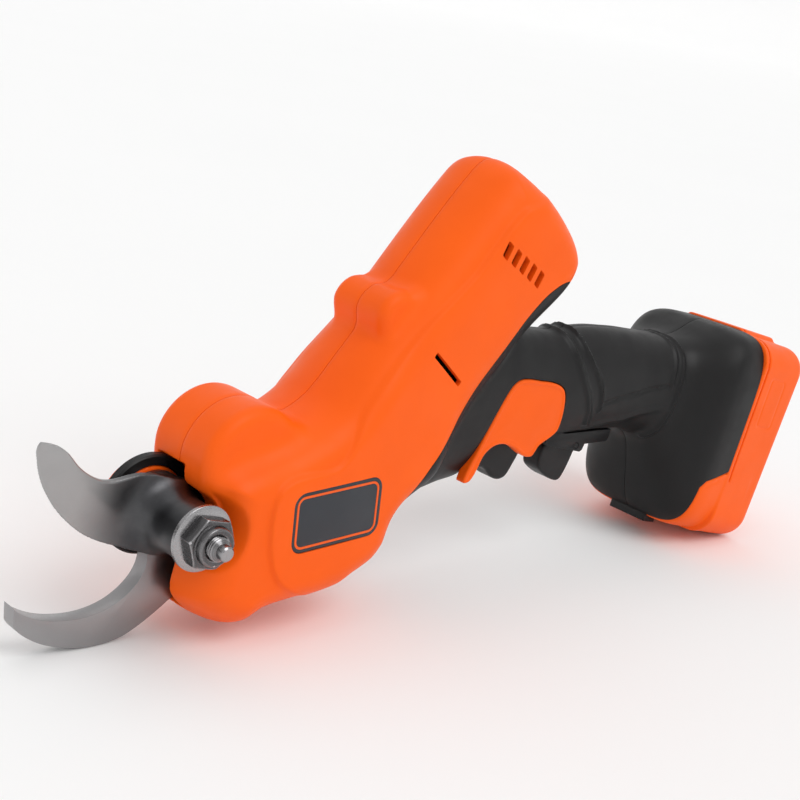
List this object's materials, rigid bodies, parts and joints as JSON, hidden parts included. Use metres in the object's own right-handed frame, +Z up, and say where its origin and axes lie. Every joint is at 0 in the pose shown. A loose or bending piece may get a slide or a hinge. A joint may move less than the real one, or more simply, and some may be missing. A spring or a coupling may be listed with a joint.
{
  "type": "battery electric pruner",
  "caption": "Cordless electric pruner: hooked bypass blades on a clamshell gear and motor housing, raked grip with trigger and lock-off lever, slide-on battery foot.",
  "frame": {"origin": "middle of the bounding box's underside, on the surface that the tool rests on with its hook blade and the lower rear edge of its battery", "axes": "+X along the tool from the blades to the battery, +Y across the tool to the side with the pivot bolt's head, +Z up"},
  "size_m": [0.457, 0.084, 0.1988],
  "materials": {
    "orange_shell": "fine moulded texture, satin",
    "orange_pack": "fine moulded texture, satin",
    "black_grip": "soft matte grip",
    "black_plastic": "fine moulded texture",
    "badge": "printed plate, satin",
    "blade_steel": "ground and satin",
    "blued_steel": "dark phosphated",
    "gear_steel": "machined",
    "zinc": "zinc plated",
    "bronze": "machined",
    "cast_frame": "as cast",
    "motor_steel": "plated can",
    "copper": "bare",
    "board": "solder mask",
    "capacitor_sleeve": "shrink sleeve",
    "cell_sleeve": "shrink sleeve"
  },
  "bodies": {
    "tool_body": {"badge_left": "badge", "badge_right": "badge", "bearing_far": "zinc", "bearing_near": "zinc", "capacitor": "capacitor_sleeve", "case_screw_1": "zinc", "case_screw_2": "zinc", "case_screw_3": "zinc", "case_screw_4": "zinc", "case_screw_5": "zinc", "case_screw_6": "zinc", "control_board": "board", "gear_frame": "cast_frame", "gearbox_case": "cast_frame", "grip_left": "black_grip", "grip_right": "black_grip", "hook_blade": "blade_steel", "housing_left": "orange_shell", "housing_right": "orange_shell", "insert_left": "orange_shell", "insert_right": "orange_shell", "lever_bracket": "black_plastic", "lever_pin": "gear_steel", "lever_spring": "zinc", "motor_can": "motor_steel", "motor_cap": "black_plastic", "pivot_bolt": "zinc", "pivot_nut": "zinc", "pivot_ring": "black_plastic", "pivot_washer": "zinc", "switch_body": "black_plastic", "terminal_blade_1": "copper", "terminal_blade_2": "copper", "terminal_block": "black_plastic", "trigger_spring": "zinc"},
    "cutter": {"cutting_blade": "blade_steel", "blade_hub": "blued_steel", "sector_gear": "gear_steel"},
    "cross_gear": {"cross_shaft": "gear_steel", "drive_pinion": "gear_steel", "crown_wheel": "bronze"},
    "output_pinion": {"bevel_pinion": "gear_steel"},
    "rotor": {"motor_shaft": "gear_steel", "cooling_fan": "black_plastic"},
    "trigger": {"trigger": "black_plastic"},
    "lockoff_lever": {"lockoff_lever": "black_plastic"},
    "battery_pack": {"pack_case": "orange_pack", "pack_cover": "black_plastic", "pack_board": "board", "button_spring": "zinc", "cell_1": "cell_sleeve", "cell_2": "cell_sleeve", "cell_3": "cell_sleeve", "cell_4": "cell_sleeve", "cell_5": "cell_sleeve"},
    "release_button": {"pack_button": "black_plastic"}
  },
  "joints": [
    {"name": "blade_pivot", "type": "hinge", "parent": "tool_body", "child": "cutter", "pos_m": [-0.16179, 0.0025, 0.0531], "axis": [0, -1, 0], "range_deg": [0, 48]},
    {"name": "cross_gear_spin", "type": "hinge", "parent": "tool_body", "child": "cross_gear", "pos_m": [-0.1068, 0.0025, 0.05233], "axis": [0, -1, 0], "range_deg": [-156, 0]},
    {"name": "output_spin", "type": "hinge", "parent": "tool_body", "child": "output_pinion", "pos_m": [-0.09391, 0.0025, 0.0678], "axis": [0.6402, 0, 0.7682], "range_deg": [-518, 0]},
    {"name": "motor_spin", "type": "hinge", "parent": "tool_body", "child": "rotor", "pos_m": [-0.01965, 0.0025, 0.15691], "axis": [0.6402, 0, 0.7682], "range_deg": [-8280, 0]},
    {"name": "trigger_pull", "type": "slide", "parent": "tool_body", "child": "trigger", "axis": [0.2217, 0, 0.9751], "range_m": [0, 0.006], "stiffness_N_per_m": 500, "springref_m": -0.002, "deforming": ["trigger_spring"]},
    {"name": "lever_squeeze", "type": "hinge", "parent": "tool_body", "child": "lockoff_lever", "pos_m": [0.07964, 0.0025, 0.05729], "axis": [0, 1, 0], "range_deg": [0, 11], "stiffness_Nm_per_rad": 0.12, "springref_deg": -8.59, "deforming": ["lever_spring"]},
    {"name": "battery_slide", "type": "slide", "parent": "tool_body", "child": "battery_pack", "axis": [-0.2217, 0, -0.9751], "range_m": [0, 0.085]},
    {"name": "button_press", "type": "slide", "parent": "battery_pack", "child": "release_button", "axis": [0.2217, 0, 0.9751], "range_m": [0, 0.003], "stiffness_N_per_m": 600, "springref_m": -0.002, "deforming": ["button_spring"]}
  ],
  "couplings": [
    {"joint": "cross_gear_spin", "follows": "blade_pivot", "ratio": -3.2308},
    {"joint": "output_spin", "follows": "blade_pivot", "ratio": -10.769},
    {"joint": "motor_spin", "follows": "blade_pivot", "ratio": -172.31}
  ]
}
